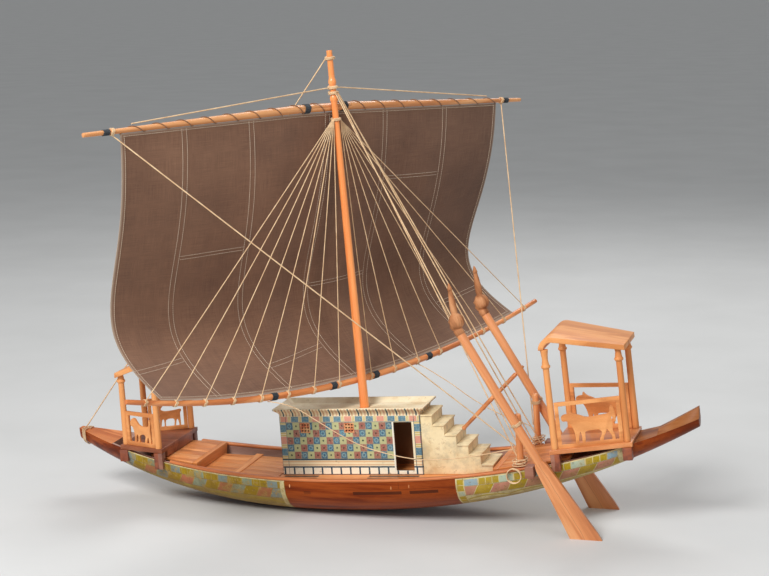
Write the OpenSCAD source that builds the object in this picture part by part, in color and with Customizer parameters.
// Rigged model river boat: a carved hull with two kiosks, a painted cabin with a stair,
// a mast with a square sail on a yard and a boom, and two steering oars.
// Bow towards -X, stern towards +X, port towards -Y, starboard towards +Y.
// Shapes are drawn in the boat's own level frame. The boat then rests on z = 0 on its keel
// and its two oar blades, which hold the stern a little higher than the bow.

/* [Hull] */
// Length from midship to the bow tip
bow_length = 552; // [500:1:620]
// Length from midship to the stern tip
stern_length = 627; // [560:1:700]
// Half of the hull's width at midship
mid_half_beam = 105; // [95:1:120]
// Half of the hull's width at the bow tip
bow_tip_half = 8; // [6:0.5:14]
// Half of the hull's width at the stern tip
stern_tip_half = 14; // [10:0.5:20]
// Height of the hull's edge above the deck at midship
mid_sheer = 3; // [2:0.5:6]
// Height of the hull's edge at the bow tip
bow_sheer = 84; // [74:1:96]
// Height of the hull's edge at the stern tip
stern_sheer = 92; // [82:1:104]
// Depth of the keel below the deck at midship
keel_depth = 70; // [60:1:84]
// Height of the keel at the bow tip
bow_keel = 62; // [54:1:68]
// Height of the keel at the stern tip
stern_keel = 76; // [66:1:82]
// Thickness of the carved hull wall
hull_wall = 8; // [6:0.5:11]
// Depth of the flat planed on the keel where the hull rests
keel_flat = 0.8; // [0.4:0.1:1.5]
// Angle by which the bow lies lower than the stern at rest
rest_pitch = 3.7; // [2.5:0.1:5]
// Width of the rail along the hull's edge
rail_w = 11; // [9:0.5:14]
// Height of the rail along the hull's edge
rail_h = 5; // [3:0.5:8]
// Height of the tail block above the stern edge at the tip
tail_h = 20; // [14:1:28]

/* [Decks] */
// Thickness of the deck boards
deck_t = 5; // [4:0.5:7]
// Gap between two deck boards
board_gap = 0.6; // [0.4:0.1:1.2]
// Width of one deck board
board_w = 26; // [20:1:34]
// Height of the raised fore deck at its inner edge
step_z = 33; // [28:1:38]
// Height of the raised aft deck at its inner edge
aft_step_z = 21; // [18:1:26]
// Place of the step up to the fore deck
fore_step_x = -292; // [-310:1:-275]
// Place of the step up to the aft deck
aft_step_x = 276; // [268:1:290]
// Width of the open slots between the deck and the hull
slot_w = 13; // [9:0.5:18]
// Thickness of the deck beams and the steps, along the boat
beam_t = 10; // [8:0.5:13]

/* [Cabin] */
// Length of the cabin
cabin_l = 267; // [240:1:290]
// Width of the cabin
cabin_w = 80; // [70:1:92]
// Height of the cabin walls
cabin_h = 112; // [100:1:124]
// Thickness of the cabin walls
cabin_wall = 4; // [3:0.5:6]
// Height of the curved cornice
cornice_h = 13; // [10:0.5:16]
// How far the cornice stands out from the walls
cornice_out = 9; // [6:0.5:12]
// Place of the doorway's centre along the boat
door_x = 100; // [92:1:108]
// Width of the doorway
door_w = 34; // [28:1:40]
// Height of the door sill
door_sill = 7; // [4:0.5:12]
// Height of the doorway
door_h = 90; // [80:1:95]
// Width and height of the two windows
window_w = 19; // [15:1:24]
// Height of the windows' lower edge above the deck
window_z = 78; // [70:1:82]
// Number of steps in the stair
step_count = 6; // [5:1:7]
// Depth of one step along the boat
step_run = 21.3; // [19:0.1:23]
// Height of the top step above the deck
stair_h = 110; // [100:1:115]
// Thickness of the tread boards
tread_t = 3; // [2:0.5:4]
// How far the tread boards stand out from the stair's side
tread_out = 1.5; // [0.5:0.5:3]

/* [Mast and spars] */
// Place of the mast along the boat, at the deck
mast_x = 22; // [10:1:34]
// Height of the masthead above the deck
mast_top = 767; // [720:1:810]
// Radius of the mast at the deck
mast_r = 9; // [8:0.25:10]
// Radius of the mast at its top
mast_top_r = 5.2; // [4.5:0.1:6]
// Angle by which the mast leans towards the bow
mast_rake = 1.3; // [0:0.1:2.5]
// Angle between the spars and the boat's length
brace_angle = 60; // [50:1:70]
// Height of the yard at the mast
yard_z = 666; // [640:1:690]
// Length of the yard
yard_l = 1044; // [960:1:1100]
// Radius of the yard at its middle
yard_r = 8; // [7:0.25:9]
// Radius of the yard at its ends
yard_tip_r = 3.75; // [3:0.25:5.5]
// How far the middle of the yard lies to port of the mast
yard_shift = 12; // [0:1:20]
// Angle by which the yard falls towards starboard
yard_fall = 2; // [0:0.1:3]
// Angle by which each half of the yard droops towards its end
yard_droop = 1.8; // [0:0.1:3]
// Height of the boom at the mast
boom_z = 166; // [158:1:178]
// Straight distance between the boom's ends
boom_l = 1016; // [940:1:1060]
// How far the middle of the boom lies to port of the mast
boom_shift = 6; // [0:1:12]
// How far the boom's ends rise above its middle
boom_rise = 64; // [50:1:80]
// Radius of the boom
boom_r = 6; // [5:0.25:7]
// Half length of the lapped joints of the yard and the boom
lap_half = 60; // [45:1:75]
// Length of the dark bindings on the spars
binding_l = 13; // [9:0.5:17]
// Thickness of the dark bindings
binding_t = 1.2; // [0.8:0.1:2]

/* [Sail] */
// Thickness of the sail cloth's solid
sail_t = 1.6; // [1.2:0.1:2.5]
// Half width of the sail along the yard
sail_top_half = 450; // [420:1:455]
// Half width of the sail along the boom
sail_foot_half = 437; // [410:1:460]
// How far the lower part of the sail swells forward
sail_belly = 88; // [60:1:100]
// How far the upper part of the sail swells forward
sail_upper_belly = 26; // [15:1:40]
// Depth of the sail's upright folds
sail_fold = 7; // [3:0.5:12]

/* [Cords] */
// Diameter of the rigging cords
cord_d = 2; // [1.6:0.1:2.6]
// Turns of the lashing that holds the sail to the yard
lash_turns = 18; // [12:1:24]
// Lifts on each side that hold the boom
lift_count = 8; // [6:1:9]
// Loops in the small coil on the port rail
coil_loops = 3; // [2:1:4]
// Radius of the small coil's loops
coil_r = 13; // [10:0.5:16]

/* [Kiosks] */
// Radius of the kiosk posts
post_r = 6; // [5:0.25:7]
// Thickness of the kiosk platforms
platform_t = 8; // [6:0.5:11]
// How far the platforms reach past the posts' centres
platform_out = 9; // [7:0.5:12]
// Thickness of the kiosk roofs
roof_t = 9; // [7:0.5:11]
// Height of the kiosk side panels
panel_h = 82; // [70:1:92]
// Thickness of the kiosk side panels
panel_t = 5; // [4:0.5:7]
// Width of the bars round the side panels
panel_bar = 7; // [5:0.5:9]

/* [Steering oars] */
// Distance of the oars from the boat's middle plane
oar_y = 97; // [95:0.5:104]
// Place of the loom's upper end along the boat
oar_top_x = 234; // [224:1:244]
// Height of the loom's upper end
oar_top_z = 266; // [250:1:280]
// Angle of the oars from upright
oar_slant = 28.4; // [26:0.1:31]
// Radius of the loom at the lashing
loom_r = 8; // [7:0.25:9]
// Width of the blade
blade_w = 49; // [42:1:56]
// Thickness of the blade at its middle
blade_t = 11; // [8:0.5:13]
// Length of the blade
blade_l = 150; // [135:1:160]
// Length of the tiller
tiller_l = 100; // [80:1:106]
// Radius of the tiller
tiller_r = 4; // [3:0.25:5]
// Radius of the stanchions that carry the oars
stanchion_r = 6; // [5:0.25:7]
// Running gap round an oar in its lashing
oar_gap = 0.1; // [0.05:0.01:0.1]

/* [Fits] */
// Gap between pieces that sit side by side
fit_gap = 0.3; // [0.2:0.05:0.4]
// Gap between flat faces that rest on each other
seat_gap = 0.05; // [0.02:0.01:0.1]

/* [Hidden] */
$fn = 48;
// Small overlap that lets a cut pass right through a face
cut = 1;

// How fast the width, the edge and the keel change towards each end
bow_fullness = 3.1;
stern_fullness = 2.5;
bow_sheer_power = 2;
stern_sheer_power = 2.5;
bow_keel_power = 2.25;
stern_keel_power = 2.2;
// Roundness of the hull's cross-section
section_power = 2.2;
// Points on each side of a cross-section, and stations along the hull
section_steps = 9;
shell_stations = 26;
end_stations = 5;
shell_bow_x = -0.8514 * bow_length;
shell_stern_x = 490;

// Colours
red_wood = "#87402a";
light_wood = "#d7915f";
dark_wood = "#6e4641";
spar_wood = "#d76e3c";
cream = "#e6d7aa";
linen = "#694e42";
cord_tan = "#e1be96";
dark_cord = "#323237";

// Hull lines: share of the way to the end, half width, edge height and keel height at x
function share(x) = x < 0 ? -x / bow_length : x / stern_length;
function half_beam(x) = x < 0
  ? bow_tip_half + (mid_half_beam - bow_tip_half) * (1 - pow(share(x), bow_fullness))
  : stern_tip_half + (mid_half_beam - stern_tip_half) * (1 - pow(share(x), stern_fullness));
function sheer(x) = x < 0
  ? mid_sheer + (bow_sheer - mid_sheer) * pow(share(x), bow_sheer_power)
  : mid_sheer + (stern_sheer - mid_sheer) * pow(share(x), stern_sheer_power);
function keel(x) = x < 0
  ? -keel_depth + (bow_keel + keel_depth) * pow(share(x), bow_keel_power)
  : -keel_depth + (stern_keel + keel_depth) * pow(share(x), stern_keel_power);

// Where the pitched keel touches the surface that the boat stands on
keel_rate = bow_keel_power * (bow_keel + keel_depth) / bow_length;
touch_share = pow(tan(rest_pitch) / keel_rate, 1 / (bow_keel_power - 1));
touch_x = -bow_length * touch_share;
touch_z = keel(touch_x) + keel_flat;
// Height of that surface in the boat's frame
function floor_z(x) = touch_z - (x - touch_x) * tan(rest_pitch);

// Cross-section from the port edge round the keel to the starboard edge
function section(x, inset, lift) = [
  for (i = [-section_steps : section_steps])
    let (
      turn = 90 * (1 - abs(i) / section_steps),
      across = pow(cos(turn), 2 / section_power),
      down = pow(sin(turn), 2 / section_power),
      top = sheer(x) + lift,
      low = keel(x) + inset
    )
    [x, sign(i) * (half_beam(x) - inset) * across, top - (top - low) * down]
];
function reversed(list) = [for (i = [len(list) - 1 : -1 : 0]) list[i]];
function steps_between(a, b, count) = [for (i = [0 : count]) a + (b - a) * i / count];

// Triangles that join rings of points into a closed skin, with fan or strip ends
function skin_faces(rings, size) = [
  for (i = [0 : rings - 2])
    for (j = [0 : size - 1])
      let (
        a = i * size + j,
        b = i * size + (j + 1) % size,
        c = a + size,
        d = b + size
      )
      each [[a, c, b], [b, c, d]]
];
function fan(start, size) = [for (j = [1 : size - 2]) [start, start + j, start + j + 1]];
function strip(start, size) = [
  for (j = [0 : size / 2 - 2])
    let (a = start + j, b = start + j + 1, c = start + size - 2 - j, d = start + size - 1 - j)
    each [[a, b, c], [a, c, d]]
];
function flipped(faces) = [for (f = faces) [f[2], f[1], f[0]]];
module skin(rings, hollow = false) {
  size = len(rings[0]);
  last = (len(rings) - 1) * size;
  first_end = hollow ? strip(0, size) : fan(0, size);
  last_end = hollow ? strip(last, size) : fan(last, size);
  polyhedron(
    [for (r = rings) each r],
    concat(skin_faces(len(rings), size), first_end, flipped(last_end))
  );
}
// A cord: rings of points round a route, with a given sideways direction at each point
function unit(v) = v / norm(v);
function tangent(route, i) =
  unit(route[min(i + 1, len(route) - 1)] - route[max(i - 1, 0)]);
function cord_ring(route, i, side, r, sides) =
  let (
    along = tangent(route, i),
    a = unit(side - along * (side * along)),
    b = cross(along, a)
  )
  [for (k = [0 : sides - 1]) route[i] + r * (a * cos(360 * k / sides) + b * sin(360 * k / sides))];
module cord(route, r, sides = 8, side = [0, 0, 1]) {
  skin([for (i = [0 : len(route) - 1]) reversed(cord_ring(route, i, side, r, sides))]);
}
// A wound cord, whose sideways directions are given one by one
module wound_cord(route, outward, r, sides = 6) {
  skin([for (i = [0 : len(route) - 1]) reversed(cord_ring(route, i, outward[i], r, sides))]);
}
// Least distance between the turns of a wound cord, less its thickness
function self_gap(route, apart, r) = min([
  for (i = [0 : len(route) - 1 - apart])
    for (j = [i + apart : len(route) - 1])
      norm(route[i] - route[j])
]) - 2 * r;
// A straight taut cord between two points
module taut(a, b, r) {
  v = b - a;
  translate(a)
    rotate([0, acos(v[2] / norm(v)), atan2(v[1], v[0])])
      cylinder(r = r, h = norm(v));
}
// Smooth closed outline through hand-placed points
function curve_point(p, i, t) =
  let (
    n = len(p),
    a = p[(i + n - 1) % n],
    b = p[i],
    c = p[(i + 1) % n],
    d = p[(i + 2) % n]
  )
  0.5 * (2 * b + (c - a) * t + (2 * a - 5 * b + 4 * c - d) * t * t + (3 * b - a - 3 * c + d) * t * t * t);
function smooth(p, count) = [
  for (i = [0 : len(p) - 1])
    for (k = [0 : count - 1])
      curve_point(p, i, k / count)
];

// Puts a piece of the level boat into its resting place
module boat() {
  rotate([0, -rest_pitch, 0])
    translate([-touch_x, 0, -touch_z])
      children();
}

// Hull
module hull_solid(from, to, count, inset, lift) {
  skin([for (x = steps_between(from, to, count)) section(x, inset, lift)]);
}
module hull_shell() {
  rings = [
    for (x = steps_between(shell_bow_x, shell_stern_x, shell_stations))
      concat(section(x, 0, 0), reversed(section(x, hull_wall, 0)))
  ];
  color(red_wood)
    difference() {
      boat() skin(rings, true);
      translate([-bow_length, -mid_half_beam, -keel_depth])
        cube([2 * bow_length, 2 * mid_half_beam, keel_depth]);
    }
}
module bow_block() {
  color(red_wood)
    boat() hull_solid(-bow_length, shell_bow_x - seat_gap, end_stations, 0, 0);
}
module stern_block() {
  color(red_wood)
    boat() hull_solid(shell_stern_x + seat_gap, stern_length, end_stations, 0, 0);
}
// Rails and tail stand clear of the straight runs between the hull's stations
edge_seat = 0.2;
// Light tail piece with sloped sides, which grows taller towards the tip
tail_x = 556;
module stern_tail() {
  ridge = 0.35;
  rings = [
    for (x = steps_between(tail_x, stern_length, end_stations))
      let (
        w = half_beam(x) - fit_gap,
        z = sheer(x) + edge_seat,
        h = 5 + (tail_h - 5) * (x - tail_x) / (stern_length - tail_x)
      )
      [[x, -w, z], [x, w, z], [x, ridge * w, z + h], [x, -ridge * w, z + h]]
  ];
  color(light_wood)
    boat() skin([for (r = rings) reversed(r)]);
}
rail_bow_x = -338;
rail_stern_x = 330;
rail_stations = 22;
rail_lip = 1.5;
module gunwale(side) {
  rings = [
    for (x = steps_between(rail_bow_x, rail_stern_x, rail_stations))
      let (
        outer = half_beam(x) + rail_lip,
        z = sheer(x) + edge_seat,
        ring = [
          [x, side * outer, z],
          [x, side * (outer - rail_w), z],
          [x, side * (outer - rail_w), z + rail_h],
          [x, side * outer, z + rail_h]
        ]
      )
      side < 0 ? reversed(ring) : ring
  ];
  color(light_wood)
    boat() skin(rings);
}
module port_gunwale() gunwale(-1);
module starboard_gunwale() gunwale(1);

// Decks, cut to the inside of the hull
station_step = (shell_stern_x - shell_bow_x) / shell_stations;
module inside_hull(extra, from = shell_bow_x, to = shell_stern_x) {
  count = ceil((to - from) / station_step);
  hull_solid(from, to, count, hull_wall + fit_gap + extra, 40);
}
fore_slope = atan2(step_z - 17, -cabin_l / 2 - fore_step_x);
main_end_x = aft_step_x - beam_t / 2 - fit_gap;
module boards(from, to, half_width, gap) {
  count = ceil(half_width / (board_w + gap));
  for (i = [-count : count - 1])
    translate([from, i * (board_w + gap) + gap / 2, -deck_t])
      cube([to - from, board_w, deck_t]);
}
fore_start = fore_step_x + beam_t / 2 + fit_gap + deck_t * sin(fore_slope);
fore_end = -cabin_l / 2 - 6;
module fore_deck() {
  color(light_wood)
    boat()
      intersection() {
        translate([fore_end, 0, 0])
          rotate([0, fore_slope, 0])
            boards(-(fore_end - fore_start) / cos(fore_slope), 0, mid_half_beam, board_gap);
        inside_hull(slot_w, fore_start - 4, fore_end + 4);
      }
}
module main_deck() {
  color(light_wood)
    boat()
      intersection() {
        translate([0, 0, -seat_gap])
          boards(fore_end + 2, main_end_x, mid_half_beam, board_gap);
        inside_hull(slot_w, fore_end, main_end_x + 4);
      }
}
// Raised end decks, which climb towards the kiosks
end_slope = 7;
bow_deck_x = -0.6993 * bow_length;
aft_deck_x = 405;
module bow_deck() {
  start = fore_step_x - beam_t / 2 - fit_gap;
  color(light_wood)
    boat()
      intersection() {
        translate([start, 0, step_z])
          rotate([0, end_slope, 0])
            boards((bow_deck_x - start) / cos(end_slope), 0, mid_half_beam, board_gap);
        inside_hull(0, bow_deck_x - 4, start + 4);
      }
}
module aft_deck() {
  start = aft_step_x + beam_t / 2 + fit_gap;
  color(light_wood)
    boat()
      intersection() {
        translate([start, 0, aft_step_z])
          rotate([0, -end_slope, 0])
            boards(0, (aft_deck_x - start) / cos(end_slope), mid_half_beam, board_gap);
        inside_hull(0, start - 4, aft_deck_x + 4);
      }
}
module deck_steps() {
  drop = 24;
  color(light_wood)
    boat()
      intersection() {
        for (place = [[fore_step_x, step_z], [aft_step_x, aft_step_z]])
          translate([place[0] - beam_t / 2, -mid_half_beam, place[1] - drop])
            cube([beam_t, 2 * mid_half_beam, drop]);
        inside_hull(0);
      }
}
// Beams that carry the decks across the hull
beam_h = 10;
beam_places = [-340, -220, -100, 0, 120, 240, 330];
function deck_underside(x) =
  x < fore_step_x ?
    step_z + (fore_step_x - beam_t / 2 - fit_gap - x) * tan(end_slope) - deck_t / cos(end_slope) :
  x < fore_end ? (fore_end - x) * tan(fore_slope) - deck_t / cos(fore_slope) :
  x < aft_step_x ? -deck_t - seat_gap :
  aft_step_z + (x - aft_step_x - beam_t / 2 - fit_gap) * tan(end_slope) - deck_t / cos(end_slope);
module deck_beams() {
  color(dark_wood)
    boat()
      intersection() {
        for (x = beam_places)
          let (low = min(deck_underside(x - beam_t / 2), deck_underside(x + beam_t / 2)))
          translate([x - beam_t / 2, -mid_half_beam, low - beam_h - fit_gap])
            cube([beam_t, 2 * mid_half_beam, beam_h]);
        inside_hull(0);
      }
}

// Cabin
roof_z = cabin_h + cornice_h;
module cabin_walls() {
  inner = cabin_wall;
  color(cream)
    boat()
      difference() {
        translate([-cabin_l / 2, -cabin_w / 2, 0])
          cube([cabin_l, cabin_w, cabin_h]);
        translate([-cabin_l / 2 + inner, -cabin_w / 2 + inner, -cut])
          cube([cabin_l - 2 * inner, cabin_w - 2 * inner, cabin_h + 2 * cut]);
        translate([door_x - door_w / 2, -cabin_w / 2 - cut, door_sill])
          cube([door_w, inner + 2 * cut, door_h]);
        for (x = window_places)
          translate([x - window_w / 2, -cabin_w / 2 - cut, window_z])
            cube([window_w, inner + 2 * cut, window_w]);
      }
}
window_places = [-85, -1];
module window_lattices() {
  bar = 2.4;
  bars = 4;
  side = window_w - 2 * seat_gap;
  pitch = (side - bar) / (bars - 1);
  color(cream)
    boat()
      for (x = window_places)
        translate([x - side / 2, -cabin_w / 2 + 0.6, window_z + seat_gap])
          rotate([90, 0, 0])
            translate([0, 0, -cabin_wall + 1.2])
              linear_extrude(cabin_wall - 1.2)
                union() {
                  for (i = [0 : bars - 1])
                    translate([i * pitch, 0])
                      square([bar, side]);
                  for (i = [0 : bars - 1])
                    translate([0, i * pitch])
                      square([side, bar]);
                }
}
// Hollow-curved cornice: a profile that flares out with a quarter round, on all four sides
function flare(t) = cornice_out * (1 - cos(90 * t));
cornice_profile = [
  for (i = [0 : 8])
    [flare(i / 8), (cornice_h - 3) * i / 8]
];
module cornice_side(length, depth) {
  rotate([90, 0, 0])
    translate([0, 0, -length / 2])
      linear_extrude(length)
        polygon(concat([[-depth, 0]], cornice_profile, [[cornice_out, cornice_h], [-depth, cornice_h]]));
}
// Sloped cut along Y that leaves a raised rim round the roof's sunk top
rim_w = 2.5;
tray_h = 8;
module tray_cut(half, length) {
  top = half + cornice_out - rim_w;
  low = half - 5;
  slope = (top - low) / tray_h;
  rotate([90, 0, 0])
    translate([0, 0, -length / 2])
      linear_extrude(length)
        polygon([
          [-low, cornice_h - tray_h], [low, cornice_h - tray_h],
          [top + slope * cut, cornice_h + cut], [-top - slope * cut, cornice_h + cut]
        ]);
}
module cabin_roof() {
  half_l = cabin_l / 2;
  half_w = cabin_w / 2;
  color(cream)
    boat()
      translate([0, 0, cabin_h + seat_gap])
        difference() {
          intersection() {
            union() {
              translate([half_l, 0, 0]) cornice_side(2 * half_w + 4 * cornice_out, half_l);
              translate([-half_l, 0, 0]) mirror([1, 0, 0]) cornice_side(2 * half_w + 4 * cornice_out, half_l);
            }
            union() {
              translate([0, -half_w, 0]) rotate(-90) cornice_side(2 * half_l + 4 * cornice_out, half_w);
              translate([0, half_w, 0]) rotate(90) cornice_side(2 * half_l + 4 * cornice_out, half_w);
            }
          }
          translate([mast_axis(cabin_h), 0, -cut])
            cylinder(r = mast_r + mast_clear, h = cornice_h + 2 * cut);
          intersection() {
            rotate(90) tray_cut(half_w, 3 * cabin_l);
            tray_cut(half_l, 3 * cabin_w);
          }
        }
}
// Stair of solid steps with a board on each
stair_x = cabin_l / 2 + fit_gap;
rise = stair_h / step_count;
stair_w = cabin_w - 2 * tread_out;
module cabin_stair() {
  color(cream)
    boat()
      translate([stair_x, stair_w / 2, 0])
        rotate([90, 0, 0])
          linear_extrude(stair_w)
            polygon(concat(
              [[0, 0]],
              [
                for (i = [0 : step_count - 1])
                  let (z = (step_count - i) * rise - tread_t - seat_gap)
                  each [[i * step_run, z], [(i + 1) * step_run, z]]
              ],
              [[step_count * step_run, 0]]
            ));
}
module stair_treads() {
  nose = 2;
  color(cream)
    boat()
      for (i = [0 : step_count - 1])
        translate([
          stair_x + i * step_run + fit_gap,
          -cabin_w / 2,
          (step_count - i) * rise - tread_t
        ])
          cube([step_run + nose - 2 * fit_gap, cabin_w, tread_t]);
}

// Mast
mast_clear = 0.6;
mast_foot = 14;
function mast_axis(z) = mast_x - z * tan(mast_rake);
function mast_radius(z) = mast_r + (mast_top_r - mast_r) * z / mast_top;
module along_mast(z) {
  translate([mast_x, 0, 0])
    rotate([0, -mast_rake, 0])
      translate([0, 0, z / cos(mast_rake)])
        children();
}
module mast() {
  collar_h = 7;
  color(spar_wood)
    boat()
      along_mast(0)
        union() {
          translate([0, 0, seat_gap + 2])
            cylinder(r1 = mast_r, r2 = mast_top_r, h = mast_top - seat_gap - 2);
          for (z = [yard_z + 15, yard_z + 45])
            translate([0, 0, z])
              rotate_extrude()
                polygon([
                  [1, -collar_h], [mast_radius(z - collar_h), -collar_h], [mast_radius(z) + 1.6, -2],
                  [mast_radius(z) + 1.6, 2], [mast_radius(z + collar_h), collar_h], [1, collar_h]
                ]);
        }
}
module mast_step() {
  block = 34;
  color(dark_wood)
    boat()
      translate([mast_x, 0, seat_gap])
        difference() {
          translate([-block / 2, -block / 2, 0])
            cube([block, block, mast_foot]);
          translate([0, 0, 2 - seat_gap])
            rotate([0, -mast_rake, 0])
              cylinder(r = mast_r + fit_gap, h = mast_foot + cut);
        }
}

// Spars, drawn along X with the sail swelling towards +Y
spar_gap = 0.4;
yard_side = mast_radius(yard_z) + yard_r + spar_gap;
boom_side = mast_radius(boom_z) + boom_r + spar_gap;
boom_radius = (boom_l * boom_l / 4 + boom_rise * boom_rise) / (2 * boom_rise);
boom_half_angle = asin(boom_l / 2 / boom_radius);
lap_angle = asin(lap_half / boom_radius);
module yard_frame() {
  translate([mast_axis(yard_z), 0, yard_z])
    rotate([0, 0, brace_angle])
      translate([0, yard_side, 0])
        rotate([0, yard_fall, 0])
          translate([-yard_shift, 0, 0])
            children();
}
module boom_frame() {
  translate([mast_axis(boom_z), 0, boom_z])
    rotate([0, 0, brace_angle])
      translate([-boom_shift, boom_side, 0])
        children();
}
// The same places as points
function turned(p, origin, side) =
  [
    origin[0] + p[0] * cos(brace_angle) - (p[1] + side) * sin(brace_angle),
    origin[1] + p[0] * sin(brace_angle) + (p[1] + side) * cos(brace_angle),
    origin[2] + p[2]
  ];
function on_yard(s, out, up) =
  let (run = s - yard_shift)
  turned([run * cos(yard_fall), out, up - run * sin(yard_fall)], [mast_axis(yard_z), 0, yard_z], yard_side);
function boom_lift(s) = boom_radius - sqrt(boom_radius * boom_radius - s * s);
function on_boom(s, out, up) =
  turned([s - boom_shift, out, up + boom_lift(s)], [mast_axis(boom_z), 0, boom_z], boom_side);
function yard_drop(s) = max(abs(s) - lap_half, 0) * tan(yard_droop);
function yard_radius(s) = yard_r + (yard_tip_r - yard_r) * abs(s) / (yard_l / 2);

// Half of the yard: a round taper, with half its thickness left along the lap
module yard_half(side) {
  color(light_wood)
    boat() yard_frame()
      mirror([side < 0 ? 1 : 0, 0, 0])
        union() {
          translate([lap_half + fit_gap, 0, 0])
            rotate([0, 90 + yard_droop, 0])
              cylinder(r1 = yard_radius(lap_half), r2 = yard_tip_r, h = yard_l / 2 - lap_half - fit_gap);
          intersection() {
            translate([-lap_half, 0, 0])
              rotate([0, 90, 0])
                cylinder(r = yard_radius(lap_half) - 0.15, h = 2 * lap_half + fit_gap + cut);
            translate([-2 * lap_half, -2 * yard_r, side < 0 ? seat_gap : -2 * yard_r])
              cube([4 * lap_half, 4 * yard_r, 2 * yard_r - seat_gap]);
          }
        }
}
module yard_port_half() yard_half(-1);
module yard_starboard_half() yard_half(1);
yard_binding_places = [-478, -45, 45, 478];
module yard_bindings() {
  color(dark_cord)
    boat() yard_frame()
      for (s = yard_binding_places)
        let (low = yard_radius(s - binding_l / 2), high = yard_radius(s + binding_l / 2))
        translate([s, 0, -yard_drop(s)])
          rotate([0, 90 + (abs(s) > lap_half ? sign(s) * yard_droop : 0), 0])
            translate([0, 0, -binding_l / 2])
              rotate_extrude()
                polygon([
                  [max(low, high) + seat_gap, 0], [max(low, high) + binding_t, 0],
                  [max(low, high) + binding_t, binding_l], [max(low, high) + seat_gap, binding_l]
                ]);
}
// Half of the boom: a bent rod, with half its thickness left along the lap
module bent(from, to) {
  translate([0, 0, boom_radius])
    rotate([90, 0, 0])
      rotate([0, 0, from - 90])
        rotate_extrude(angle = to - from, $fn = 360)
          translate([boom_radius, 0])
            children();
}
module half_disc(side) {
  intersection() {
    circle(boom_r - seat_gap);
    translate([side < 0 ? -2 * boom_r : seat_gap, -2 * boom_r])
      square([2 * boom_r - (side < 0 ? seat_gap : 0), 4 * boom_r]);
  }
}
module boom_half(side) {
  gap_angle = fit_gap / boom_radius * 57.3;
  color(spar_wood)
    boat() boom_frame()
      mirror([side < 0 ? 1 : 0, 0, 0])
        union() {
          bent(lap_angle + gap_angle, boom_half_angle) circle(boom_r);
          bent(-lap_angle, lap_angle + 2 * gap_angle) half_disc(side);
        }
}
module boom_port_half() boom_half(-1);
module boom_starboard_half() boom_half(1);
boom_binding_places = [-194, -53, 53, 194];
module boom_bindings() {
  angle = binding_l / boom_radius * 57.3;
  color(dark_cord)
    boat() boom_frame()
      for (s = boom_binding_places)
        let (middle = asin(s / boom_radius))
        bent(middle - angle / 2, middle + angle / 2)
          difference() {
            circle(boom_r + binding_t);
            circle(boom_r + seat_gap);
          }
}

// Sail: a sheet from the yard to the boom that swells forward, with upright folds
sail_columns = 26;
sail_rows = 28;
sail_top_drop = binding_t + cord_d + 2 * fit_gap;
sail_foot_rise = boom_r + cord_d + 2 * fit_gap + 0.6;
function swell(u, v) =
  (sail_belly * sin(180 * pow(v, 2.5)) + sail_upper_belly * sin(180 * pow(v, 1.1))) * (1.06 - 0.06 * u * u)
  + sail_fold * sin(180 * v) * (cos(360 * (u + 0.06) * 2.2) * exp(-4 * (u + 0.06) * (u + 0.06)));
function sail_point(u, v, side) =
  let (
    s = u * sail_top_half,
    top = on_yard(s, 0, -yard_drop(s) - yard_radius(s) - sail_top_drop),
    foot = on_boom(u * sail_foot_half, 0, sail_foot_rise),
    out = swell(u, v) + side * sail_t / 2,
    forward = [-sin(brace_angle), cos(brace_angle), 0]
  )
  top + (foot - top) * v + forward * out;
module sail() {
  us = [for (i = [0 : sail_columns]) -1 + 2 * i / sail_columns];
  vs = [for (j = [0 : sail_rows]) j / sail_rows];
  color(linen)
    boat()
      skin([
        for (u = us)
          concat(
            [for (v = vs) sail_point(u, v, -1)],
            [for (v = reversed(vs)) sail_point(u, v, 1)]
          )
      ], true);
}
// Lashing that winds along the yard and holds the head of the sail, and passes in front of the mast
function lash_angle(turns) =
  360 * (turns - lash_turns * (sail_top_half + yard_shift) / (2 * sail_top_half));
function lash_point(i, per_turn) =
  let (
    turns = i / per_turn,
    s = -sail_top_half + 2 * sail_top_half * turns / lash_turns,
    r = yard_radius(s) + binding_t + cord_d / 2 + fit_gap,
    a = lash_angle(turns)
  )
  [s, r * cos(a), r * sin(a) - yard_drop(s)];
module yard_lashing() {
  per_turn = 16;
  count = lash_turns * per_turn;
  route = [for (i = [0 : count]) lash_point(i, per_turn)];
  outward = [
    for (i = [0 : count])
      let (a = lash_angle(i / per_turn))
      [0, cos(a), sin(a)]
  ];
  echo(yard_lashing_gap = self_gap(route, per_turn, cord_d / 2));
  color(cord_tan)
    boat() yard_frame()
      wound_cord(route, outward, cord_d / 2);
}

// Standing cords
lift_ring_z = yard_z - 22;
lift_end_half = 470;
lift_start_half = 40;
function lift_place(i) = lift_start_half + (lift_end_half - lift_start_half) * i / (lift_count - 1);
mast_tie_r = 2.4;
// A ring of cord round the mast
module mast_ring(z) {
  along_mast(z)
    rotate_extrude()
      translate([mast_radius(z) + fit_gap + mast_tie_r, 0])
        circle(mast_tie_r);
}
// A ring of cord round the boom
module boom_ring(s) {
  angle = asin(s / boom_radius);
  boom_frame()
    translate([s, 0, boom_lift(s)])
      rotate([0, 90 - angle, 0])
        rotate_extrude()
          translate([boom_r + fit_gap + cord_d / 2, 0])
            circle(cord_d / 2);
}
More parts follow.
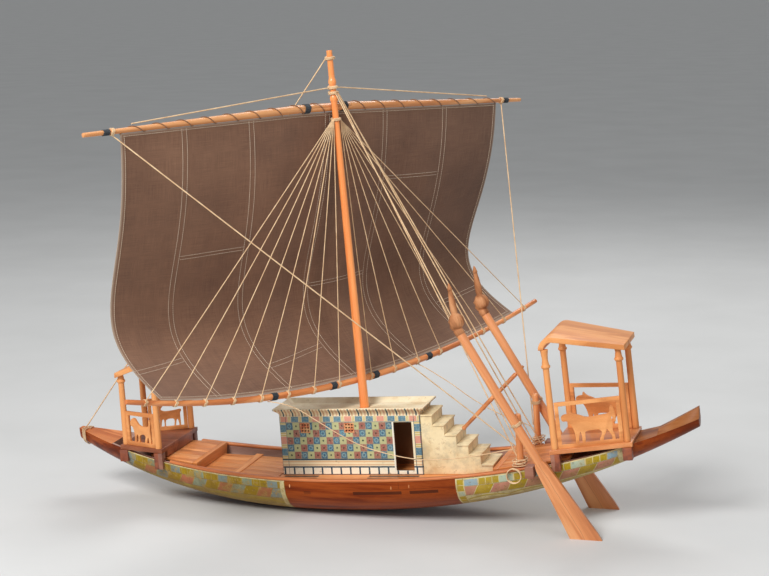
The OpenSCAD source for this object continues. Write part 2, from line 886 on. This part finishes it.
// The lifts end on the aft upper side of their rings
lift_tie = (boom_r + fit_gap + cord_d / 2) * sin(45);
module boom_lifts() {
  start_r = mast_radius(lift_ring_z) + fit_gap + mast_tie_r;
  color(cord_tan)
    boat()
      union() {
        mast_ring(lift_ring_z);
        for (side = [-1, 1])
          for (i = [0 : lift_count - 1])
            let (
              s = side * lift_place(i),
              turn = brace_angle + (side < 0 ? 180 : 0) - side * 20 * (1 - i / lift_count),
              start = [
                mast_axis(lift_ring_z) + start_r * cos(turn),
                start_r * sin(turn),
                lift_ring_z
              ]
            ) {
              taut(start, on_boom(s, -lift_tie, lift_tie), cord_d / 2);
              boom_ring(s);
            }
      }
}
yard_lift_z = yard_z + 35;
yard_lift_half = 425;
module yard_lifts() {
  start_r = mast_radius(yard_lift_z) + fit_gap + mast_tie_r;
  color(cord_tan)
    boat()
      union() {
        mast_ring(yard_lift_z);
        for (side = [-1, 1])
          let (
            turn = brace_angle + (side < 0 ? 180 : 0),
            s = side * yard_lift_half,
            up = yard_radius(s) + binding_t + cord_d + 2 * fit_gap + cord_d / 2
          )
          taut(
            [mast_axis(yard_lift_z) + start_r * cos(turn), start_r * sin(turn), yard_lift_z],
            on_yard(s, 0, up - yard_drop(s)),
            cord_d / 2
          );
      }
}
bow_tie_x = -536;
module forestay() {
  z = mast_top - 14;
  start_r = mast_radius(z) + fit_gap + mast_tie_r;
  color(cord_tan)
    boat()
      union() {
        mast_ring(z);
        taut(
          [mast_axis(z) - start_r, 0, z],
          [bow_tie_x - 4, 0, sheer(bow_tie_x - 4) + 1.1 + fit_gap + 1.5 * cord_d],
          cord_d / 2
        );
      }
}
// Lashing wound round the bow tip, with square corners softened
bow_loops = 3;
function bow_wrap(turns) =
  let (
    x = bow_tie_x - 7 + turns * (cord_d + 0.9),
    half_h = (sheer(x) - keel(x)) / 2,
    half_w = half_beam(x),
    a = 360 * turns + 90,
    power = sin(a) > 0 ? 12 : 2,
    reach = 1 / pow(pow(abs(cos(a)), power) + pow(abs(sin(a)), power), 1 / power),
    skin_gap = cord_d / 2 + 1.1
  )
  [
    x,
    (half_w + skin_gap) * reach * cos(a),
    (sheer(x) + keel(x)) / 2 + (half_h + skin_gap) * reach * sin(a)
  ];
module bow_lashing() {
  per_loop = 24;
  route = [for (i = [0 : bow_loops * per_loop]) bow_wrap(i / per_loop)];
  outward = [
    for (i = [0 : bow_loops * per_loop])
      unit([0, route[i][1], route[i][2] - (sheer(route[i][0]) + keel(route[i][0])) / 2])
  ];
  echo(bow_lashing_gap = self_gap(route, per_loop, cord_d / 2));
  color(cord_tan)
    boat() wound_cord(route, outward, cord_d / 2);
}
backstay_z = yard_z + 25.3;
// Foot of each backstay along the boat, and its place round the mast
backstay_places = [[318, 16], [330, 48]];
module backstays() {
  start_r = mast_radius(backstay_z) + fit_gap + mast_tie_r;
  inboard = stanchion_y - stanchion_r - 8;
  color(cord_tan)
    boat()
      union() {
        mast_ring(backstay_z);
        for (side = [-1, 1])
          for (place = backstay_places)
            let (x = place[0], turn = place[1])
            taut(
              [mast_axis(backstay_z) + start_r * cos(turn), side * start_r * sin(turn), backstay_z],
              [x, side * inboard, aft_deck_z(x) + fit_gap + cord_d / 2],
              cord_d / 2
            );
      }
}
// Braces from the yard's ends to the stanchions
brace_half = 466;
brace_tie_z = 62;
module brace(side) {
  s = side * brace_half;
  ring_r = yard_radius(brace_half - 6) + fit_gap + cord_d / 2;
  color(cord_tan)
    boat()
      union() {
        yard_frame()
          translate([s, 0, -yard_drop(s)])
            rotate([0, 90 + side * yard_droop, 0])
              rotate_extrude()
                translate([ring_r, 0])
                  circle(cord_d / 2);
        taut(
          on_yard(s, 0, -yard_drop(s) - ring_r),
          [stanchion_x - stanchion_r - fit_gap - cord_d / 2, side * stanchion_y, brace_tie_z],
          cord_d / 2
        );
      }
}
module port_brace() brace(-1);
module starboard_brace() brace(1);
// Slack sheets: hand-placed routes from the boom to the stanchions
port_sheet_route = [
  [-102, -178, 169.3], [-92, -176, 167.6], [-72, -172, 162], [-48, -168, 151], [-16, -162, 128],
  [16, -156, 105], [54, -149, 82], [94, -141, 66], [142, -131, 53], [186, -121, 49],
  [230, -111, 50], [270, -101, 54], [300, -90, 57], [314, -80, 56]
];
starboard_sheet_route = [
  [86, 146, 165], [100, 145, 158], [120, 143, 146], [150, 140, 127], [182, 136, 104],
  [212, 132, 86], [240, 126, 73], [268, 117, 64], [296, 102, 58], [314, 80, 55]
];
module port_sheet() {
  color(cord_tan) boat() cord(port_sheet_route, cord_d / 2);
}
module starboard_sheet() {
  color(cord_tan) boat() cord(starboard_sheet_route, cord_d / 2);
}
// Small coil of spare cord hung outside the port rail
coil_x = 312;
coil_pitch = cord_d + 0.9;
function coil_point(turns) =
  let (a = 360 * turns + 90)
  [
    coil_x + coil_r * cos(a),
    -(half_beam(coil_x - coil_r) + rail_lip + fit_gap + cord_d / 2 + coil_pitch * (turns - 0.25)),
    sheer(coil_x) - coil_r * 0.45 + coil_r * sin(a)
  ];
module rope_coil() {
  per_loop = 24;
  route = [for (i = [0 : coil_loops * per_loop]) coil_point(i / per_loop)];
  outward = [
    for (i = [0 : coil_loops * per_loop])
      [cos(360 * i / per_loop + 90), 0, sin(360 * i / per_loop + 90)]
  ];
  echo(rope_coil_gap = self_gap(route, per_loop, cord_d / 2));
  color(cord_tan)
    boat() wound_cord(route, outward, cord_d / 2);
}

// Kiosks, drawn with the inner posts at x = 0 and the outer posts towards +X
// Place, base height, tilt, length, half width at the inner and outer posts, ring height,
// height of the roof's lip above the ring, share of the panel height, roof slope, roof overhang
bow_kiosk_x = -0.6504 * bow_length;
stern_kiosk_x = 384;
bow_kiosk = [bow_kiosk_x, sheer(bow_kiosk_x) + 23.7, 0.5, 80, 81, 47, 121, 22, 0.78, 20, 8];
stern_kiosk = [stern_kiosk_x, sheer(stern_kiosk_x) + 26.9, 2.8, 123, 80, 51, 147, 30, 1, 12.2, 13];
function k_len(k) = k[3];
function k_inner(k) = k[4];
function k_outer(k) = k[5];
function k_ring(k) = k[6];
function k_lip(k) = k[6] + k[7];
module kiosk_frame(k) {
  translate([k[0], 0, k[1]])
    mirror([k[0] < 0 ? 1 : 0, 0, 0])
      rotate([0, -k[2], 0])
        children();
}
// The hull with a small gap round it, for pieces that are cut to sit on it
module hull_seat(from, to) {
  count = ceil((to - from) / (station_step / 2));
  hull_solid(from, to, count, -fit_gap, fit_gap);
}
skirt_t = 6;
module kiosk_platform(k) {
  out = platform_out;
  deck_x = k[0] - sign(k[0]) * out;
  skirt_h = k[1] - end_deck_z(deck_x) - fit_gap - 1;
  color(dark_wood)
    boat()
      difference() {
        kiosk_frame(k)
          union() {
            translate([0, 0, -platform_t])
              linear_extrude(platform_t)
                polygon([
                  [-out, -k_inner(k) - out], [k_len(k) + out, -k_outer(k) - out],
                  [k_len(k) + out, k_outer(k) + out], [-out, k_inner(k) + out]
                ]);
            translate([-out, -k_inner(k) + 2 * out, -skirt_h])
              cube([skirt_t, 2 * k_inner(k) - 4 * out, skirt_h]);
          }
        hull_seat(
          k[0] < 0 ? k[0] - k_len(k) - 2 * out : k[0] - 2 * out,
          k[0] < 0 ? k[0] + 2 * out : k[0] + k_len(k) + 2 * out
        );
      }
}
// Bracket feet that carry the platform's corners on the hull's edge
foot_w = 16;
foot_drop = 30;
module foot(k, side, end) {
  inner = end == 0;
  x = k[0] + (inner ? 0 : sign(k[0]) * k_len(k));
  lift = inner ? 0 : 8;
  drop = inner ? foot_drop : 22;
  difference() {
    kiosk_frame(k)
      translate([
        (inner ? 0 : k_len(k)) - foot_w / 2,
        side * (inner ? k_inner(k) : k_outer(k) + 8) - foot_w / 2,
        -platform_t - drop
      ])
        cube([foot_w, foot_w, drop - seat_gap]);
    for (up = [0, lift])
      translate([0, 0, up])
        hull_seat(x - 2 * foot_w, x + 2 * foot_w);
  }
}
module kiosk_feet(k) {
  color(dark_wood)
    boat()
      for (side = [-1, 1])
        for (end = [0, 1])
          foot(k, side, end);
}
// Bent roof board: a quarter round over the inner posts, then a plain slope
curl_x = 12;
curl_r = roof_t + 12;
function roof_arc(k, r, from, to) = [
  for (i = [0 : 10])
    let (a = from + (to - from) * i / 10)
    [curl_x + r * cos(a), k_lip(k) + r * sin(a)]
];
function roof_end(k, r) =
  let (a = 90 - k[9], reach = k_len(k) + k[10])
  [
    reach,
    k_lip(k) + r * sin(a) - (reach - curl_x - r * cos(a)) * tan(k[9])
  ];
// Height of the roof's underside over the slope
function roof_under(k, x) =
  roof_end(k, curl_r - roof_t)[1] + (k_len(k) + k[10] - x) * tan(k[9]);
module roof_board(k, drop) {
  spread = 3;
  translate([0, 0, -drop])
    intersection() {
      translate([0, mid_half_beam, 0])
        rotate([90, 0, 0])
          linear_extrude(2 * mid_half_beam)
            polygon(concat(
              roof_arc(k, curl_r, 180, 90 - k[9]),
              [roof_end(k, curl_r), roof_end(k, curl_r - roof_t)],
              roof_arc(k, curl_r - roof_t, 90 - k[9], 180)
            ));
      linear_extrude(2 * k_lip(k))
        polygon([
          [-post_r - 8, -k_inner(k) - post_r - spread],
          [k_len(k) + 14, -k_outer(k) - post_r - spread],
          [k_len(k) + 14, k_outer(k) + post_r + spread],
          [-post_r - 8, k_inner(k) + post_r + spread]
        ]);
    }
}
module kiosk_roof(k) {
  color(light_wood)
    boat() kiosk_frame(k) roof_board(k, 0);
}
// Turned post with a ring and a bell-shaped head
module post(ring, top) {
  rotate_extrude()
    polygon([
      [0, seat_gap], [post_r, seat_gap], [post_r - 0.5, ring - 4], [post_r + 2, ring - 1.5],
      [post_r + 2, ring + 1], [post_r + 0.5, ring + 3], [post_r - 1, min(ring + 13, top - 2)],
      [post_r + 1, top], [0, top]
    ]);
}
module kiosk_posts(k) {
  color(light_wood)
    boat() kiosk_frame(k)
      difference() {
        for (side = [-1, 1]) {
          translate([0, side * k_inner(k), 0])
            post(k_ring(k), k_lip(k) - seat_gap);
          translate([k_len(k), side * k_outer(k), 0])
            post(k_ring(k), roof_under(k, k_len(k)) + 3);
        }
        roof_board(k, seat_gap);
      }
}
// Animals cut from thin board, on a field 100 wide and 60 high, facing the bow
bull = [
  [3, 42], [5, 36], [13, 35], [19, 29], [23, 20], [25, 10], [24, -2], [29, -2], [31, 9], [34, 17],
  [36, 9], [36, -2], [41, -2], [42, 10], [44, 17], [60, 18], [68, 17], [71, 11], [67, 4], [67, -2],
  [72, -2], [74, 6], [78, 12], [80, 17], [84, 12], [88, 5], [88, -2], [93, -2], [93, 7], [90, 14],
  [91, 26], [90, 36], [95, 28], [97, 29], [96, 44], [92, 53], [88, 50], [86, 42], [70, 40], [48, 39],
  [36, 43], [24, 47], [18, 52], [16, 47], [8, 46]
];
lion = [
  [6, 44], [8, 36], [15, 34], [20, 25], [22, 12], [20, -2], [27, -2], [30, 13], [36, 18], [37, 8],
  [35, -2], [42, -2], [44, 12], [50, 18], [64, 19], [70, 14], [66, 5], [66, -2], [73, -2], [77, 9],
  [82, 14], [84, 6], [84, -2], [91, -2], [92, 12], [90, 28], [94, 40], [92, 52], [88, 54], [87, 44],
  [80, 38], [60, 37], [44, 40], [34, 48], [26, 54], [14, 53]
];
ibex = [
  [6, 38], [10, 33], [18, 33], [21, 24], [24, 14], [22, -2], [27, -2], [31, 14], [36, 17], [38, 6],
  [37, -2], [42, -2], [44, 15], [60, 18], [69, 16], [70, 8], [68, -2], [73, -2], [77, 13], [81, 15],
  [84, 6], [85, -2], [90, -2], [90, 14], [90, 30], [94, 36], [89, 39], [70, 37], [46, 36], [34, 38],
  [29, 42], [38, 50], [46, 52], [36, 55], [24, 50], [18, 44], [11, 43]
];
module kiosk_panel(k, side, animal) {
  spread = k_outer(k) - k_inner(k);
  turn = atan2(spread, k_len(k));
  length = norm([spread, k_len(k)]) - 2 * (post_r + fit_gap);
  inner_l = length - 2 * panel_bar;
  height = panel_h * k[8];
  inner_h = height - 2 * panel_bar;
  facing = k[0] < 0 ? -1 : 1;
  color(light_wood)
    boat() kiosk_frame(k)
      translate([0, side * k_inner(k), seat_gap])
        rotate(side * turn)
          translate([post_r + fit_gap, panel_t / 2, 0])
            rotate([90, 0, 0])
              union() {
                linear_extrude(panel_t)
                  difference() {
                    square([length, height]);
                    translate([panel_bar, panel_bar])
                      square([inner_l, inner_h]);
                  }
                translate([panel_bar + inner_l / 2, panel_bar, 0.6])
                  linear_extrude(panel_t - 1.2)
                    polygon([
                      for (p = smooth(animal, 3))
                        [(p[0] / 100 - 0.5) * inner_l * facing, max(p[1], -2) * (inner_h - 2) / 58]
                    ]);
              }
}
module bow_kiosk_platform() kiosk_platform(bow_kiosk);
module bow_kiosk_feet() kiosk_feet(bow_kiosk);
module bow_kiosk_posts() kiosk_posts(bow_kiosk);
module bow_kiosk_roof() kiosk_roof(bow_kiosk);
module bow_kiosk_port_panel() kiosk_panel(bow_kiosk, -1, lion);
module bow_kiosk_starboard_panel() kiosk_panel(bow_kiosk, 1, ibex);
module stern_kiosk_platform() kiosk_platform(stern_kiosk);
module stern_kiosk_feet() kiosk_feet(stern_kiosk);
module stern_kiosk_posts() kiosk_posts(stern_kiosk);
module stern_kiosk_roof() kiosk_roof(stern_kiosk);
module stern_kiosk_port_panel() kiosk_panel(stern_kiosk, -1, bull);
module stern_kiosk_starboard_panel() kiosk_panel(stern_kiosk, 1, bull);

// Steering oars, drawn along Z with the loom's upper end at z = 0
oar_reach = (oar_top_z - touch_z + (oar_top_x - touch_x) * tan(rest_pitch))
  / (cos(oar_slant) - sin(oar_slant) * tan(rest_pitch));
shoulder = oar_reach - blade_l;
function loom_x(z) = oar_top_x + (oar_top_z - z) * tan(oar_slant);
module oar_frame(side) {
  translate([oar_top_x, side * oar_y, oar_top_z])
    rotate([0, -oar_slant, 0])
      children();
}
blade_extra = 24;
module oar(side) {
  color(spar_wood)
    difference() {
      boat() oar_frame(side)
        difference() {
          union() {
            translate([0, 0, -shoulder])
              cylinder(r = loom_r, h = shoulder);
            translate([0, 0, -shoulder - blade_l / 2])
              cylinder(r1 = 2, r2 = loom_r, h = blade_l / 2);
            intersection() {
              translate([0, blade_w / 2, 0])
                rotate([90, 0, 0])
                  linear_extrude(blade_w)
                    polygon([
                      [-loom_r, -shoulder + 6], [-loom_r - 3, -shoulder - 4],
                      [-blade_w / 2, -oar_reach], [-blade_w / 2, -oar_reach - blade_extra],
                      [blade_w / 2, -oar_reach - blade_extra], [blade_w / 2, -oar_reach],
                      [loom_r + 3, -shoulder - 4], [loom_r, -shoulder + 6]
                    ]);
              rotate([0, 0, 90])
                translate([0, blade_w, 0])
                  rotate([90, 0, 0])
                    linear_extrude(2 * blade_w)
                      polygon([
                        [-blade_t / 2, -shoulder + 6], [-3, -oar_reach - blade_extra],
                        [3, -oar_reach - blade_extra], [blade_t / 2, -shoulder + 6]
                      ]);
            }
          }
          tiller_place(side)
            translate([0, 0, -tenon])
              cylinder(r = tenon_r + seat_gap, h = tiller_l);
        }
      translate([-stern_length, -2 * mid_half_beam, -keel_depth])
        cube([2 * stern_length + bow_length, 4 * mid_half_beam, keel_depth]);
    }
}
module port_oar() oar(-1);
module starboard_oar() oar(1);
// Tiller: its root sits in a hole in the loom, and it points forward, down and inboard
tiller_root = 120;
tiller_turn = 12.5;
tiller_fall = 15.5;
tenon = 3;
tenon_r = 2.6;
module tiller_place(side) {
  translate([0, 0, -tiller_root])
    rotate([0, 0, side * tiller_turn])
      rotate([0, -90 - tiller_fall, 0])
        children();
}
module tiller(side) {
  start = loom_r / cos(tiller_fall) + tiller_r * tan(tiller_fall) + fit_gap;
  color(spar_wood)
    boat() oar_frame(side) tiller_place(side)
      union() {
        translate([0, 0, -tenon + seat_gap])
          cylinder(r = tenon_r, h = start + tenon + cut);
        translate([0, 0, start])
          cylinder(r1 = tiller_r, r2 = tiller_r - 0.8, h = tiller_l - tiller_r - start);
        translate([0, 0, tiller_l - tiller_r])
          sphere(tiller_r);
      }
}
module port_tiller() tiller(-1);
module starboard_tiller() tiller(1);
// Carved head of the oar: collar, and an upright turned neck, head and tall rounded cap
head_turn = 21;
head_r = 14.5;
module finial(side) {
  collar_h = 10;
  color(spar_wood)
    boat() oar_frame(side)
      translate([0, 0, seat_gap])
        union() {
          cylinder(r = loom_r + 0.8, h = collar_h);
          translate([0, 0, collar_h]) {
            sphere(loom_r);
            rotate([0, head_turn, 0])
              rotate_extrude()
                polygon(concat(
                  [[0, -2], [loom_r - 2.4, -2]],
                  [for (a = [-50 : 10 : 60]) [head_r * cos(a), head_r + head_r * sin(a)]],
                  [[6.6, 28], [7.2, 34], [7, 42], [6.2, 52], [5, 62], [4, 68], [4.6, 71], [4.2, 73]],
                  [[3.2, 76], [1.5, 81], [0, 83]]
                ));
          }
        }
}
module port_oar_finial() finial(-1);
module starboard_oar_finial() finial(1);
// Stanchions on the aft deck, and the cord rings that tie the oars to them
lash_z = 104;
lash_rings = 3;
stanchion_x = loom_x(lash_z);
ring_sink = 0.5;
stanchion_y = oar_y - (loom_r + oar_gap + stanchion_r + seat_gap + 2 * cord_d - ring_sink);
stanchion_foot = aft_deck_z(stanchion_x + stanchion_r) + seat_gap;
function aft_deck_z(x) = aft_step_z + (x - aft_step_x - beam_t / 2) * tan(end_slope);
function end_deck_z(x) =
  x < 0 ? step_z + (fore_step_x - beam_t / 2 - x) * tan(end_slope) : aft_deck_z(x);
module oar_stanchions() {
  top = lash_z + 16;
  color(spar_wood)
    boat()
      for (side = [-1, 1])
        translate([stanchion_x, side * stanchion_y, stanchion_foot])
          rotate_extrude()
            polygon([
              [0, 0], [stanchion_r + 1, 0], [stanchion_r, 6], [stanchion_r, top - stanchion_foot - 3],
              [stanchion_r - 2, top - stanchion_foot], [0, top - stanchion_foot]
            ]);
}
module cord_rings(r) {
  for (i = [0 : lash_rings - 1])
    translate([0, 0, (i - (lash_rings - 1) / 2) * (cord_d - 0.2)])
      rotate_extrude()
        translate([r + cord_d / 2, 0])
          circle(cord_d / 2);
}
module oar_lashings() {
  color(cord_tan)
    boat()
      for (side = [-1, 1])
        union() {
          translate([stanchion_x, side * stanchion_y, lash_z])
            cord_rings(stanchion_r + seat_gap);
          oar_frame(side)
            translate([0, 0, -(oar_top_z - lash_z) / cos(oar_slant)])
              cord_rings(loom_r + oar_gap);
        }
}
// Chocks on the hull's edge that the looms lean on
chock_top = 30;
chock_h = 20;
chock_l = 15;
module oar_chocks() {
  aft = loom_x(chock_top) - (loom_r + 3) / cos(oar_slant) - 2 * fit_gap;
  inner = half_beam(aft - chock_l) - hull_wall + fit_gap;
  color(light_wood)
    boat()
      difference() {
        for (side = [-1, 1])
          translate([aft - chock_l, side < 0 ? -oar_y - loom_r : inner, chock_top - chock_h])
            cube([chock_l, oar_y + loom_r - inner, chock_h]);
        hull_seat(aft - 2 * chock_l, aft + chock_l);
      }
}

hull_shell();
bow_block();
stern_block();
stern_tail();
port_gunwale();
starboard_gunwale();
deck_beams();
deck_steps();
bow_deck();
fore_deck();
main_deck();
aft_deck();
oar_chocks();
cabin_walls();
cabin_roof();
window_lattices();
cabin_stair();
stair_treads();
mast_step();
mast();
yard_port_half();
yard_starboard_half();
yard_bindings();
yard_lashing();
boom_port_half();
boom_starboard_half();
boom_bindings();
sail();
boom_lifts();
yard_lifts();
forestay();
bow_lashing();
backstays();
port_brace();
starboard_brace();
port_sheet();
starboard_sheet();
rope_coil();
bow_kiosk_platform();
bow_kiosk_feet();
bow_kiosk_posts();
bow_kiosk_roof();
bow_kiosk_port_panel();
bow_kiosk_starboard_panel();
stern_kiosk_platform();
stern_kiosk_feet();
stern_kiosk_posts();
stern_kiosk_roof();
stern_kiosk_port_panel();
stern_kiosk_starboard_panel();
port_oar();
starboard_oar();
port_oar_finial();
starboard_oar_finial();
port_tiller();
starboard_tiller();
oar_stanchions();
oar_lashings();
